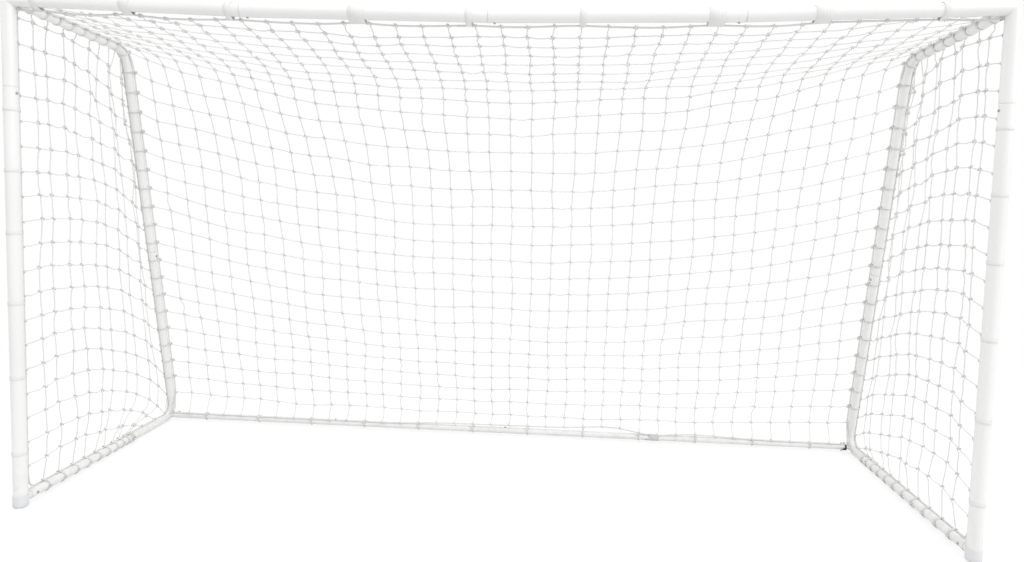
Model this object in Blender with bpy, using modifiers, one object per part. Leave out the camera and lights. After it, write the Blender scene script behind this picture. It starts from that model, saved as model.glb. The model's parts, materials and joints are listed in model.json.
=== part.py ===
"""A free-standing soccer goal of white steel tube with a knotted net.

Metres, +Z up, +X to the right for someone facing the goal, +Y from the mouth to the back. The frame comes
apart into fourteen tubes. Each tube joint is a reduced male end inside the next tube, locked by a sprung
push-button that stands through both walls.
"""

import math

import bmesh
import bpy
from mathutils import Matrix, Vector

# Mouth of the goal
mouth_width = 3.658
mouth_height = 1.985

# The crossbar hangs at its middle joint, and by a share of that at the other two
crossbar_sag = 0.045
quarter_sag_share = 0.75

# Side frames, measured from the posts' axes
stay_run = 0.675
stay_drop = 0.052
rear_run = 1.045
upper_bend_radius = 0.090
lower_bend_radius = 0.065
foot_spigot_height = 0.031

# Tubes
front_tube_diameter = 0.0508
side_tube_diameter = 0.0381
rear_tube_diameter = 0.0318
tube_wall = 0.0012

# Where the tubes part
corner_drop = 0.357
corner_reach = 0.946
leg_joint_height = 0.930
spigot_length = 0.052
shoulder_length = 0.0015
joint_clearance = 0.0006
neck_length = 0.013

# Push-buttons and their leaf springs
pin_diameter = 0.0095
pin_rise = 0.0045
dome_height = 0.0030
hole_clearance = 0.0006
flange_diameter = 0.0130
flange_thickness = 0.0012
leaf_width = 0.0090
leaf_thickness = 0.0008
leaf_reach = 0.030
leaf_bend_radius = 0.0022

# Foot caps
cap_height = 0.050
cap_wall = 0.0015
cap_floor = 0.010
cap_rounding = 0.009

# Net
strand = 0.004
net_offset = 0.012
net_inset = 0.008
side_net_offset = 0.0265
side_seam_offset = 0.010
crossbar_net_gap = 0.009
post_net_gap = 0.010
net_seam = 0.0045
net_columns = 16
roof_rows = 4
upper_rows = 5
lower_rows = 5
side_columns = 4
side_rows = 8
roof_share = 0.235
upper_share = 0.560
side_net_droop = 0.035

# How far the middle of the net hangs forward of and below its edges: share of the way down, forward, down
net_slack = [(0.0, 0.0, 0.025), (0.06, 0.05, 0.06), (0.16, 0.07, 0.13), (0.24, 0.16, 0.25),
             (0.34, 0.11, 0.17), (0.52, 0.03, 0.02), (0.75, 0.02, 0.0), (1.0, 0.018, 0.010)]
slack_spread = 2.5

# The net's share of the way down over which it still follows the crossbar's sag
sag_share = 0.16

gap = 0.0004
front_sides = 20
side_sides = 16
rear_sides = 16
pin_sides = 12
bend_steps = 6
dome_steps = 3
rounding_steps = 4
weld_distance = 0.00001

front_radius = front_tube_diameter / 2
side_radius = side_tube_diameter / 2
rear_radius = rear_tube_diameter / 2
post_x = mouth_width / 2 + front_radius
bar_z = mouth_height + front_radius
half_spigot = spigot_length / 2
cap_radius = front_radius + gap + cap_wall
post_bottom = cap_floor + gap

for old in list(bpy.data.objects):
    bpy.data.objects.remove(old, do_unlink=True)

# Both collections join the scene at the end, so that shapes are worked out one at a time until then
goal_parts = bpy.data.collections.new("soccer_goal")
cutting_tools = bpy.data.collections.new("cutting_tools")

origin = bpy.data.objects.new("goal_origin", None)
goal_parts.objects.link(origin)


def axes_at(place, z_axis, x_axis):
    """A placing whose Z runs along z_axis and whose X is as near to x_axis as it can be."""
    z = Vector(z_axis).normalized()
    y = z.cross(Vector(x_axis)).normalized()
    x = y.cross(z)
    return Matrix.Translation(Vector(place)) @ Matrix((x, y, z)).transposed().to_4x4()


def meshed(source):
    """The evaluated shape of an object as a new mesh object in the same place, with its caps welded."""
    bpy.context.scene.collection.objects.link(source)
    bpy.context.view_layer.update()
    graph = bpy.context.evaluated_depsgraph_get()
    mesh = bpy.data.meshes.new_from_object(source.evaluated_get(graph))
    mesh.name = source.name
    body = bmesh.new()
    body.from_mesh(mesh)
    bmesh.ops.remove_doubles(body, verts=body.verts, dist=weld_distance)
    body.to_mesh(mesh)
    body.free()
    result = bpy.data.objects.new(source.name, mesh)
    result.matrix_world = source.matrix_world
    name = source.name
    bpy.data.objects.remove(source, do_unlink=True)
    result.name = name
    return result


def smooth(obj, angle=35.0):
    """Smooth shading with the hard edges kept."""
    obj.data.shade_smooth()
    obj.data.set_sharp_from_angle(angle=math.radians(angle))
    return obj


def quarter_turn(steps):
    """The angles of a quarter circle in equal steps."""
    return [math.pi / 2 * i / steps for i in range(steps + 1)]


def turned(name, profile, sides, place):
    """A turned solid. The profile is (radius, height) points that run down its outer side."""
    mesh = bpy.data.meshes.new(name)
    last = len(profile) - 1
    edges = [(i, i + 1) for i in range(last)]
    if profile[0][0] > 0.0:
        edges.append((last, 0))
    mesh.from_pydata([(r, 0.0, z) for r, z in profile], edges, [])
    obj = bpy.data.objects.new(name, mesh)
    obj.matrix_world = place
    turn = obj.modifiers.new("turn", "SCREW")
    turn.steps = sides
    turn.render_steps = sides
    turn.use_merge_vertices = True
    turn.merge_threshold = weld_distance
    return smooth(meshed(obj))


def bent(name, path, radii, sides):
    """A solid bar bent along a path, with its own radius at each point."""
    curve = bpy.data.curves.new(name, "CURVE")
    curve.dimensions = "3D"
    curve.bevel_depth = max(radii)
    curve.bevel_resolution = (sides - 4) // 2
    curve.use_fill_caps = True
    spline = curve.splines.new("POLY")
    spline.points.add(len(path) - 1)
    for point, place, radius in zip(spline.points, path, radii):
        point.co = (*place, 1.0)
        point.radius = radius / curve.bevel_depth
    return smooth(meshed(bpy.data.objects.new(name, curve)))


def combined(body, how, tools):
    """Join or cut a body with other objects, which are kept aside in a collection of their own."""
    kept = bpy.data.collections.new(body.name + "_" + how.lower())
    cutting_tools.children.link(kept)
    for tool in tools:
        kept.objects.link(tool)
        tool.parent = origin
        tool.hide_render = True
        tool.display_type = "WIRE"
    step = body.modifiers.new(how.lower(), "BOOLEAN")
    step.operation = how
    step.solver = "EXACT"
    step.operand_type = "COLLECTION"
    step.collection = kept


def welded(body, *tools):
    combined(body, "UNION", tools)


def cut(body, *tools):
    combined(body, "DIFFERENCE", tools)


def finished(obj, colour, roughness, metallic):
    """Put a finished sub-part in the goal's collection with a material of its own."""
    goal_parts.objects.link(obj)
    obj.parent = origin
    material = bpy.data.materials.new(obj.name + "_finish")
    material.use_nodes = True
    shader = material.node_tree.nodes["Principled BSDF"]
    shader.inputs["Base Color"].default_value = (*colour, 1.0)
    shader.inputs["Roughness"].default_value = roughness
    shader.inputs["Metallic"].default_value = metallic
    obj.data.materials.clear()
    obj.data.materials.append(material)
    return obj


def painted(obj):
    return finished(obj, (0.84, 0.85, 0.82), 0.35, 0.0)


def rounded(points, radii, steps):
    """A polyline through the corner points, with an arc of the given radius at each inner corner."""
    path = [points[0]]
    for before, corner, after, radius in zip(points, points[1:], points[2:], radii):
        into = (before - corner).normalized()
        out = (after - corner).normalized()
        half = into.angle(out) / 2
        centre = corner + (into + out).normalized() * radius / math.sin(half)
        start = corner + into * radius / math.tan(half) - centre
        turn = math.pi - 2 * half
        axis = into.cross(start)
        for i in range(steps + 1):
            path.append(centre + Matrix.Rotation(turn * i / steps, 3, axis) @ start)
    path.append(points[-1])
    return path


def solid_profile(length, radius, spigot_high=None, spigot_low=None, grow=0.0):
    """Half section of a bar with reduced ends, for a tube's outside or, with its wall off, its bore."""
    side = [(radius, length), (radius, 0.0)]
    if spigot_high:
        side = [(spigot_high, length + spigot_length), (spigot_high, length + shoulder_length)] + side
    if spigot_low:
        side = side + [(spigot_low, -shoulder_length), (spigot_low, -spigot_length)]
    side[0] = (side[0][0], side[0][1] + grow)
    side[-1] = (side[-1][0], side[-1][1] - grow)
    return side


def straight_tube(name, start, end, radius, sides, spigot_start=None, spigot_end=None):
    """A hollow tube from start to end, with reduced ends beyond them where a spigot radius is given."""
    outside = solid_profile((end - start).length, radius, spigot_end, spigot_start)
    inside = [(r - tube_wall, z) for r, z in reversed(outside)]
    return turned(name, outside + inside, sides, axes_at(start, end - start, (0.0, 1.0, 0.0)))


def rod(name, start, end, radius, sides):
    """A plain round bar from start to end."""
    length = (end - start).length
    profile = [(0.0, length), (radius, length), (radius, 0.0), (0.0, 0.0)]
    upright = Vector((0.0, 1.0, 0.0)) if abs((end - start).normalized().y) < 0.9 else Vector((1.0, 0.0, 0.0))
    return turned(name, profile, sides, axes_at(start, end - start, upright))


class Joint:
    """A push-button joint: its middle, the way that the male end points, and the way the button faces."""

    def __init__(self, name, middle, along, out, radius, sides, play=0.0):
        self.name = name
        self.middle = Vector(middle)
        self.along = Vector(along).normalized()
        self.out = (Vector(out) - Vector(out).project(self.along)).normalized()
        self.radius = radius
        self.sides = sides
        self.spigot = radius - tube_wall - joint_clearance - play
        self.shoulder = self.middle - self.along * half_spigot
        self.tip = self.middle + self.along * half_spigot
        self.end_gap = joint_clearance + play * radius / half_spigot

    def face(self, along=None):
        """The end face of the female tube, whose axis may lean a little from the male one."""
        return self.middle - (along or self.along) * (half_spigot - shoulder_length - self.end_gap)

    def inner_reach(self, half_width):
        """How far from the axis a flat piece of this half width reaches inside the spigot."""
        flat = (self.spigot - tube_wall) * math.cos(math.pi / self.sides)
        return math.sqrt(flat * flat - half_width * half_width) - gap

    def hole(self):
        return rod(self.name + "_hole", self.middle, self.middle + self.out * 2 * self.radius,
                   pin_diameter / 2 + hole_clearance, pin_sides)

    def stub(self, root):
        """The bar of a spigot that is welded on at root."""
        return rod(self.name + "_stub", root, self.tip, self.spigot, self.sides)

    def stub_bore(self, root_depth):
        """The blind bore of a welded spigot. It stops at root_depth behind the spigot's middle."""
        return rod(self.name + "_stub_bore", self.middle - self.along * root_depth,
                   self.tip + self.along * spigot_length, self.spigot - tube_wall, self.sides)


def push_button(joint):
    """The domed pin and its flange, which bears on the spigot's inside."""
    radius = pin_diameter / 2
    seat = joint.inner_reach(flange_diameter / 2)
    top = joint.radius + pin_rise
    dome = [(radius * math.sin(a), top - dome_height * (1 - math.cos(a))) for a in quarter_turn(dome_steps)]
    dome[0] = (0.0, top)
    profile = dome + [(radius, seat), (flange_diameter / 2, seat), (flange_diameter / 2, seat - flange_thickness),
                      (0.0, seat - flange_thickness)]
    place = axes_at(joint.middle, joint.out, joint.along)
    return finished(turned("button_" + joint.name, profile, pin_sides, place), (0.62, 0.63, 0.64), 0.35, 1.0)


def leaf_spring(joint):
    """The bent strip under the button, one leaf below the flange and one on the far wall."""
    upper = joint.inner_reach(flange_diameter / 2) - flange_thickness - gap - leaf_thickness / 2
    lower = -joint.inner_reach(leaf_width / 2) + leaf_thickness / 2
    tip = flange_diameter / 2
    line = [Vector((tip, 0.0, upper)), Vector((-tip, 0.0, upper)),
            Vector((-leaf_reach, 0.0, (upper + lower) / 2 + leaf_bend_radius)),
            Vector((-leaf_reach, 0.0, (upper + lower) / 2 - leaf_bend_radius)),
            Vector((-tip, 0.0, lower)), Vector((tip, 0.0, lower))]
    line = rounded(line[1:5], [leaf_bend_radius / 2] * 2, 2)
    line = [Vector((tip, 0.0, upper))] + line + [Vector((tip, 0.0, lower))]
    body = bmesh.new()
    verts = [body.verts.new(p - Vector((0.0, leaf_width / 2, 0.0))) for p in line]
    edges = [body.edges.new(pair) for pair in zip(verts, verts[1:])]
    strip = bmesh.ops.extrude_edge_only(body, edges=edges)
    moved = [v for v in strip["geom"] if isinstance(v, bmesh.types.BMVert)]
    bmesh.ops.translate(body, verts=moved, vec=(0.0, leaf_width, 0.0))
    bmesh.ops.recalc_face_normals(body, faces=body.faces)
    mesh = bpy.data.meshes.new("spring_" + joint.name)
    body.to_mesh(mesh)
    body.free()
    spring = bpy.data.objects.new("spring_" + joint.name, mesh)
    spring.matrix_world = axes_at(joint.middle, joint.out, joint.along)
    shell = spring.modifiers.new("leaf", "SOLIDIFY")
    shell.thickness = leaf_thickness
    shell.offset = 0.0
    shell.use_even_offset = True
    return finished(spring, (0.30, 0.31, 0.33), 0.4, 1.0)


def mitred(name, corner, legs, sides):
    """Two bars that meet at a mitre. Each leg is its direction and the half section beyond the corner."""
    body = bmesh.new()
    ways = [leg[0].normalized() for leg in legs]
    across = (ways[0] - ways[1]).normalized()
    for way, profile, keep in zip(ways, (legs[0][1], legs[1][1]), (1.0, -1.0)):
        overrun = 2 * max(r for r, z in profile)
        side = profile[:-1] + [(profile[-1][0], -overrun)]
        side = [(0.0, side[0][1])] + side + [(0.0, -overrun)]
        leg = turned(name, side, sides, axes_at(corner, way, (0.0, 1.0, 0.0)))
        part = bmesh.new()
        part.from_mesh(leg.data)
        part.transform(leg.matrix_world)
        bmesh.ops.bisect_plane(part, geom=part.verts[:] + part.edges[:] + part.faces[:], dist=weld_distance,
                               plane_co=corner, plane_no=-across * keep, clear_outer=True)
        half = bpy.data.meshes.new(name + "_half")
        part.to_mesh(half)
        part.free()
        body.from_mesh(half)
        bpy.data.objects.remove(leg, do_unlink=True)
    bmesh.ops.remove_doubles(body, verts=body.verts, dist=2 * weld_distance)
    mesh = bpy.data.meshes.new(name)
    body.to_mesh(mesh)
    body.free()
    return smooth(bpy.data.objects.new(name, mesh))


# Side frame outline, from the corner to the post's foot, in the plane of one post
lower_angle = math.atan2(bar_z - stay_drop, rear_run - stay_run)
lower_run = lower_bend_radius / math.tan(lower_angle / 2)
rear_z = side_radius - (foot_spigot_height - side_radius) * lower_run / (rear_run - lower_run)
side_corners = [Vector((0.0, 0.0, bar_z)), Vector((0.0, stay_run, bar_z - stay_drop)),
                Vector((0.0, rear_run, rear_z)), Vector((0.0, 0.0, foot_spigot_height))]
side_line = rounded(side_corners, [upper_bend_radius, lower_bend_radius], bend_steps)
stay_way = (side_corners[1] - side_corners[0]).normalized()
leg_way = (side_corners[2] - side_corners[1]).normalized()
foot_way = (side_corners[2] - side_corners[3]).normalized()
leg_middle = side_corners[1] + leg_way * (side_corners[1].z - leg_joint_height) / -leg_way.z
upper_line = side_line[1:bend_steps + 2]
lower_line = side_line[bend_steps + 2:-1]
rear_stub_at = lower_line[bend_steps // 2 + 1]

# Crossbar line, with a slight bend at each joint where the loose spigots let it hang
quarter_x = post_x - corner_reach
middle_x = half_spigot
quarter_z = bar_z - crossbar_sag * quarter_sag_share
bar_line = [Vector((-post_x, 0.0, bar_z)), Vector((-quarter_x, 0.0, quarter_z)),
            Vector((middle_x, 0.0, bar_z - crossbar_sag)), Vector((quarter_x, 0.0, quarter_z)),
            Vector((post_x, 0.0, bar_z))]
bar_ways = [(b - a).normalized() for a, b in zip(bar_line, bar_line[1:])]
bar_kink = max(a.angle(b) for a, b in zip(bar_ways, bar_ways[1:]))
bar_play = half_spigot * math.tan(bar_kink)


def bar_height(x):
    """Height of the crossbar's axis at x."""
    for a, b in zip(bar_line, bar_line[1:]):
        if x <= b.x:
            break
    return a.z + (b.z - a.z) * (x - a.x) / (b.x - a.x)


down = Vector((0.0, 0.0, -1.0))
joints = {}


def add_joint(name, *about, **more):
    joints[name] = Joint(name, *about, **more)


for hand, side in (("left", -1.0), ("right", 1.0)):
    at_post = Vector((side * post_x, 0.0, 0.0))
    inward = Vector((-side, 0.0, 0.0))
    bar_way = bar_ways[0] if side < 0 else -bar_ways[3]
    quarter = bar_line[1] if side < 0 else bar_line[3]
    stub_start = front_radius + neck_length + half_spigot
    add_joint("crossbar_" + hand, quarter, bar_way, down, front_radius, front_sides, play=bar_play)
    add_joint("post_" + hand, at_post + Vector((0.0, 0.0, bar_z - corner_drop)), down, inward,
              front_radius, front_sides)
    add_joint("stay_" + hand, at_post + side_corners[0] + stay_way * stub_start, stay_way, down,
              side_radius, side_sides)
    add_joint("leg_" + hand, at_post + leg_middle, leg_way, inward, side_radius, side_sides)
    add_joint("foot_" + hand, at_post + side_corners[3] + foot_way * stub_start, foot_way, inward,
              side_radius, side_sides)
    rear_stub_start = side_radius + neck_length + half_spigot
    add_joint("rear_end_" + hand, at_post + rear_stub_at + inward * rear_stub_start, inward, -down,
              rear_radius, rear_sides)
    rear_quarter = Vector((side * quarter_x, rear_stub_at.y, rear_stub_at.z))
    add_joint("rear_quarter_" + hand, rear_quarter, inward, -down, rear_radius, rear_sides)

add_joint("crossbar_middle", bar_line[2], bar_ways[1], down, front_radius, front_sides, play=bar_play)
add_joint("rear_middle", Vector((middle_x, rear_stub_at.y, rear_stub_at.z)), (1.0, 0.0, 0.0), -down,
          rear_radius, rear_sides)


def corner(hand, side):
    """The mitred elbow with two male ends and the stay's spigot behind."""
    place = Vector((side * post_x, 0.0, bar_z))
    to_bar = joints["crossbar_" + hand]
    to_post = joints["post_" + hand]
    to_stay = joints["stay_" + hand]
    outside = []
    inside = []
    for joint in (to_post, to_bar):
        length = (joint.shoulder - place).length
        outside.append((joint.along, solid_profile(length, front_radius, joint.spigot)))
        bore = solid_profile(length, front_radius - tube_wall, joint.spigot - tube_wall, grow=spigot_length)
        inside.append((joint.along, bore))
    body = mitred("corner_" + hand, place, outside, front_sides)
    welded(body, to_stay.stub(place))
    cut(body, mitred("corner_bore_" + hand, place, inside, front_sides),
        to_stay.stub_bore(half_spigot + neck_length - tube_wall),
        to_bar.hole(), to_post.hole(), to_stay.hole())
    return painted(body)


def post(hand, side):
    """The lower post with the ground bar's spigot behind its foot."""
    top = joints["post_" + hand]
    foot = joints["foot_" + hand]
    axis_x = side * post_x
    bottom = Vector((axis_x, 0.0, post_bottom))
    body = rod("post_" + hand, bottom, top.face(), front_radius, front_sides)
    welded(body, foot.stub(Vector((axis_x, 0.0, foot_spigot_height))))
    bore_ends = (bottom + down * tube_wall, top.face() - down * tube_wall)
    cut(body, rod("post_bore_" + hand, *bore_ends, front_radius - tube_wall, front_sides),
        foot.stub_bore(half_spigot + neck_length - tube_wall), top.hole(), foot.hole())
    return painted(body)


def foot_cap(hand, side):
    """The cap pushed on the post's foot, slotted behind for the spigot, flat where it stands."""
    inner = cap_radius - cap_wall
    arc = [(cap_radius - cap_rounding * (1 - math.cos(a)), cap_rounding * (1 - math.sin(a)))
           for a in quarter_turn(rounding_steps)]
    profile = [(0.0, cap_floor), (inner, cap_floor), (inner, cap_height), (cap_radius, cap_height)]
    profile += arc + [(0.0, 0.0)]
    at_post = Matrix.Translation((side * post_x, 0.0, 0.0))
    body = turned("foot_cap_" + hand, profile, front_sides, at_post @ Matrix.Rotation(math.pi / 2, 4, "Z"))
    spigot = joints["foot_" + hand]
    slot_radius = spigot.spigot + joint_clearance
    start = Vector((side * post_x, 0.0, foot_spigot_height))
    end = start + foot_way * 2 * cap_radius
    slot = bmesh.new()
    bmesh.ops.create_cube(slot, size=1.0)
    bmesh.ops.scale(slot, vec=(2 * slot_radius, 2 * cap_radius, cap_height), verts=slot.verts)
    bmesh.ops.translate(slot, vec=start + Vector((0.0, cap_radius, cap_height / 2)), verts=slot.verts)
    mesh = bpy.data.meshes.new("cap_slot_top_" + hand)
    slot.to_mesh(mesh)
    slot.free()
    cut(body, rod("cap_slot_" + hand, start, end, slot_radius, side_sides),
        bpy.data.objects.new("cap_slot_top_" + hand, mesh))
    return finished(body, (0.80, 0.81, 0.84), 0.45, 0.0)


def side_tube(name, path, radii, holes, stub=None):
    """A bent side tube, bored from end to end, drilled for its buttons."""
    body = bent(name, path, radii, side_sides)
    if stub:
        welded(body, stub.stub(stub.middle - stub.along * rear_stub_start))
    bore_path = list(path)
    bore_path[0] = path[0] + (path[0] - path[1]).normalized() * tube_wall
    bore_path[-1] = path[-1] + (path[-1] - path[-2]).normalized() * tube_wall
    tools = [bent(name + "_bore", bore_path, [r - tube_wall for r in radii], side_sides)]
    if stub:
        tools.append(stub.stub_bore(half_spigot + neck_length - tube_wall))
    cut(body, *tools, *(joint.hole() for joint in holes))
    return painted(body)


def side_upper(hand, side):
    """The stay, the upper bend and the upper leg, with a reduced lower end."""
    at_post = Vector((side * post_x, 0.0, 0.0))
    stay = joints["stay_" + hand]
    leg = joints["leg_" + hand]
    full = [stay.face()] + [at_post + p for p in upper_line] + [leg.shoulder]
    reduced = [leg.shoulder + leg_way * shoulder_length, leg.tip]
    radii = [side_radius] * len(full) + [leg.spigot] * len(reduced)
    return side_tube("side_upper_" + hand, full + reduced, radii, (stay, leg))


def side_lower(hand, side):
    """The lower leg, the lower bend and the ground bar, with the rear bar's spigot on the bend."""
    at_post = Vector((side * post_x, 0.0, 0.0))
    leg = joints["leg_" + hand]
    foot = joints["foot_" + hand]
    rear = joints["rear_end_" + hand]
    path = [leg.face()] + [at_post + p for p in lower_line] + [foot.face()]
    return side_tube("side_lower_" + hand, path, [side_radius] * len(path), (leg, foot, rear), rear)


def section(name, start, end, radius, sides, holes, spigot_end=None):
    """A straight section, drilled for the buttons of the joints at its ends."""
    body = straight_tube(name, start, end, radius, sides, spigot_end=spigot_end)
    cut(body, *(joint.hole() for joint in holes))
    return painted(body)


def crossbar():
    """The two middle sections of the crossbar."""
    left = joints["crossbar_left"]
    middle = joints["crossbar_middle"]
    right = joints["crossbar_right"]
    section("crossbar_left", left.face(bar_ways[1]), middle.shoulder, front_radius, front_sides,
            (left, middle), spigot_end=middle.spigot)
    section("crossbar_right", middle.face(bar_ways[2]), right.face(-bar_ways[2]), front_radius, front_sides,
            (middle, right))


def rear_bar():
    """The four sections of the rear bar. The outer ones end in male ends, and so does one inner one."""
    middle = joints["rear_middle"]
    for hand in ("left", "right"):
        end = joints["rear_end_" + hand]
        quarter = joints["rear_quarter_" + hand]
        section("rear_bar_outer_" + hand, end.face(), quarter.shoulder, rear_radius, rear_sides,
                (end, quarter), spigot_end=quarter.spigot)
        if hand == "left":
            section("rear_bar_inner_left", quarter.face(), middle.shoulder, rear_radius, rear_sides,
                    (quarter, middle), spigot_end=middle.spigot)
        else:
            section("rear_bar_inner_right", middle.face(), quarter.face(), rear_radius, rear_sides,
                    (middle, quarter))


def moved_out(line, distance):
    """A line of points in the side frame's plane, moved out from the goal by a distance."""
    moved = []
    for i, point in enumerate(line):
        way = (line[min(i + 1, len(line) - 1)] - line[max(i - 1, 0)]).normalized()
        moved.append(point + Vector((0.0, -way.z, way.y)) * distance)
    return moved


def along(line, share):
    """The point at a share of the way along a line of points."""
    spans = [(b - a).length for a, b in zip(line, line[1:])]
    left = share * sum(spans)
    for a, b, span in zip(line, line[1:], spans):
        if left <= span:
            break
        left -= span
    return a.lerp(b, min(left / span, 1.0))


def slack_at(share):
    """How far forward and down the middle of the net hangs at a share of the way down, as a smooth curve."""
    for i in range(len(net_slack) - 1):
        if share <= net_slack[i + 1][0]:
            break
    near = [Vector(net_slack[min(max(i + k, 0), len(net_slack) - 1)][1:]) for k in (-1, 0, 1, 2)]
    t = (share - net_slack[i][0]) / (net_slack[i + 1][0] - net_slack[i][0])
    pull = ((near[2] - near[0]) * t * (1 - t) ** 2 - (near[3] - near[1]) * t * t * (1 - t)) / 2
    return near[1].lerp(near[2], t * t * (3 - 2 * t)) + pull


main_edge = moved_out([Vector((0.0, front_radius + crossbar_net_gap, bar_z))] + upper_line
                      + lower_line[:2], net_offset)


def main_net_point(across, share):
    """A point of the net that runs from the crossbar over the top and down the back."""
    sideways = 2 * across - 1
    x = sideways * (post_x - side_radius - net_inset)
    middling = 1 - abs(sideways) ** slack_spread
    forward, drop = slack_at(share)
    edge = along(main_edge, share)
    hang = (bar_height(x) - bar_z) * max(0.0, 1 - share / sag_share)
    return Vector((x, edge.y - forward * middling, edge.z - drop * middling + hang))


def side_net_point(side, back, share):
    """A point of a side net: back from the post, and a share of the way down."""
    leg_line = [side_corners[1] + leg_way * side_seam_offset, along(main_edge, 1.0)]
    leg_line[1] = Vector((0.0, leg_line[1].y - net_offset, foot_spigot_height + side_radius))
    front_y = front_radius + post_net_gap
    front = Vector((0.0, front_y, bar_z + stay_way.z * front_y)).lerp(
        Vector((0.0, front_y, foot_spigot_height + side_radius)), share)
    rear = leg_line[0].lerp(leg_line[1], share)
    point = front.lerp(rear, back)
    middling = 4 * back * (1 - back) * 4 * share * (1 - share)
    return Vector((side * (post_x + side_net_offset), point.y, point.z - side_net_droop * middling))


def net(name, columns, rows, place):
    """A panel of net: a grid laid out by place(across, down) and made into strands."""
    body = bmesh.new()
    bmesh.ops.create_grid(body, x_segments=columns, y_segments=rows, size=0.5)
    for vert in body.verts:
        vert.co = place(vert.co.x + 0.5, vert.co.y + 0.5)
    mesh = bpy.data.meshes.new(name)
    body.to_mesh(mesh)
    body.free()
    panel = bpy.data.objects.new(name, mesh)
    strands = panel.modifiers.new("strands", "WIREFRAME")
    strands.thickness = strand
    strands.use_even_offset = True
    strands.use_boundary = True
    return finished(panel, (0.88, 0.88, 0.87), 0.8, 0.0)


def nets():
    """The roof and back, as three panels of one net, and the two sides."""
    length = sum((b - a).length for a, b in zip(main_edge, main_edge[1:]))
    seam = net_seam / length
    spans = (("net_roof", roof_rows, 0.0, roof_share), ("net_back_upper", upper_rows, roof_share, upper_share),
             ("net_back_lower", lower_rows, upper_share, 1.0))
    for name, rows, first, last in spans:
        start = first + seam if first else first
        net(name, net_columns, rows, lambda a, d: main_net_point(a, start + d * (last - start)))
    for hand, side in (("left", -1.0), ("right", 1.0)):
        net("net_" + hand, side_columns, side_rows, lambda a, d: side_net_point(side, a, d))


for hand, side in (("left", -1.0), ("right", 1.0)):
    corner(hand, side)
    post(hand, side)
    foot_cap(hand, side)
    side_upper(hand, side)
    side_lower(hand, side)
crossbar()
rear_bar()
for joint in joints.values():
    push_button(joint)
    leaf_spring(joint)
nets()

# The origin is on the ground, in the middle of the goal's length and depth
back = max(p.y for p in lower_line) + side_radius
origin.location = (0.0, (cap_radius - back) / 2, 0.0)
bpy.context.scene.collection.children.link(goal_parts)
bpy.context.scene.collection.children.link(cutting_tools)
bpy.context.view_layer.update()
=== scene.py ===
"""The looks of a free-standing soccer goal: white enamelled tube, a knotted net and its cords."""

import json
import math

import bmesh
import bpy
import numpy as np
from mathutils import Matrix, Vector

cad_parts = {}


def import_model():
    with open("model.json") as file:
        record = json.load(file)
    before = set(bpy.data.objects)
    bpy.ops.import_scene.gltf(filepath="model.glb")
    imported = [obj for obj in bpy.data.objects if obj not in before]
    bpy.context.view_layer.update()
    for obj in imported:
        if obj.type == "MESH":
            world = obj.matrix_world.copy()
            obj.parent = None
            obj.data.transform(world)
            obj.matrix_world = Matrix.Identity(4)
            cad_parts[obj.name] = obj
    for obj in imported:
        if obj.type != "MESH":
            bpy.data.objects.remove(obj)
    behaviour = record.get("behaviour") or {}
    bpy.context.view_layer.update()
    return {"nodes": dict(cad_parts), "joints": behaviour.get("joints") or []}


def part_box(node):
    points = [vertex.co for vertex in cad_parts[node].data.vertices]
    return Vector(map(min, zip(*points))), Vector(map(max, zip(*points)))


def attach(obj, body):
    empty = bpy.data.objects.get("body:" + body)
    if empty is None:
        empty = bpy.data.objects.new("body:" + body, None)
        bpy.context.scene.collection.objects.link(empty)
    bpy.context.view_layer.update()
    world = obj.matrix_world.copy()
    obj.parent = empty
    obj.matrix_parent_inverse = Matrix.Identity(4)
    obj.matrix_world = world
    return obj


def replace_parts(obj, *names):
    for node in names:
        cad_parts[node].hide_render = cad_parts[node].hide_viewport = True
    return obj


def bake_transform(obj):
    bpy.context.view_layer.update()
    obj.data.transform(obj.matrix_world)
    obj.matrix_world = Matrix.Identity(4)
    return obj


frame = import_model()

# Tubes and their welded stubs, as the frame has them
front_radius = 0.0254
side_radius = 0.01905
rear_radius = 0.0159
side_stub_radius = 0.01725
rear_stub_radius = 0.0141
cap_low, cap_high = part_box("foot_cap_right")
post_x = (cap_low.x + cap_high.x) / 2
post_y = (cap_low.y + cap_high.y) / 2
bar_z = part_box("corner_right")[1].z - front_radius
rear_bar_low, rear_bar_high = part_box("rear_bar_inner_right")
rear_bar_y = (rear_bar_low.y + rear_bar_high.y) / 2 - post_y
rear_bar_z = (rear_bar_low.z + rear_bar_high.z) / 2

# The crossbar hangs a little at each of its joints
bar_joint_x = 0.9084
bar_sag = 0.045
quarter_sag = 0.034

# The side frames: how far back and at what height their corners are, and the radii of the bends. The rear
# corner's dip lets the lower bend touch the ground
stay_run = 0.675
stay_drop = 0.052
rear_run = 1.045
rear_corner_dip = 0.0005
upper_bend_radius = 0.090
lower_bend_radius = 0.065
bend_steps = 10
foot_spigot_height = 0.031

# Diameters of the net's twine and the border ropes, and how far apart the points of a rope are
twine = 0.0040
border = 0.0068
rope_step = 0.011

# The net's mesh, how far its knots stray, a knot's arms in twine diameters, and its size over a tight one's
mesh_size = 0.100
looseness = 0.0045
knot_arm = 2.4
knot_size = 1.3

# The main panel of net: 37 meshes across, 29 from the crossbar to the rear bar, 9 of them on the stays
main_columns = 37
main_rows = 29
stay_rows = 9

# The rows where the main panel is parted into roof, upper back and lower back
roof_rows = 9
upper_rows = 17

# A side panel: 11 meshes from the post back, 20 from the stay down
side_columns = 11
side_rows = 20

# Where the border ropes run beside the side tubes: outboard of their axis, and off it in the frame's plane
main_rope_outboard = -0.0225
main_rope_off = 0.010
side_rope_outboard = 0.0225
side_rope_off = -0.004
ground_rope_outboard = 0.010
ground_rope_off = -0.0205

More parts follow.
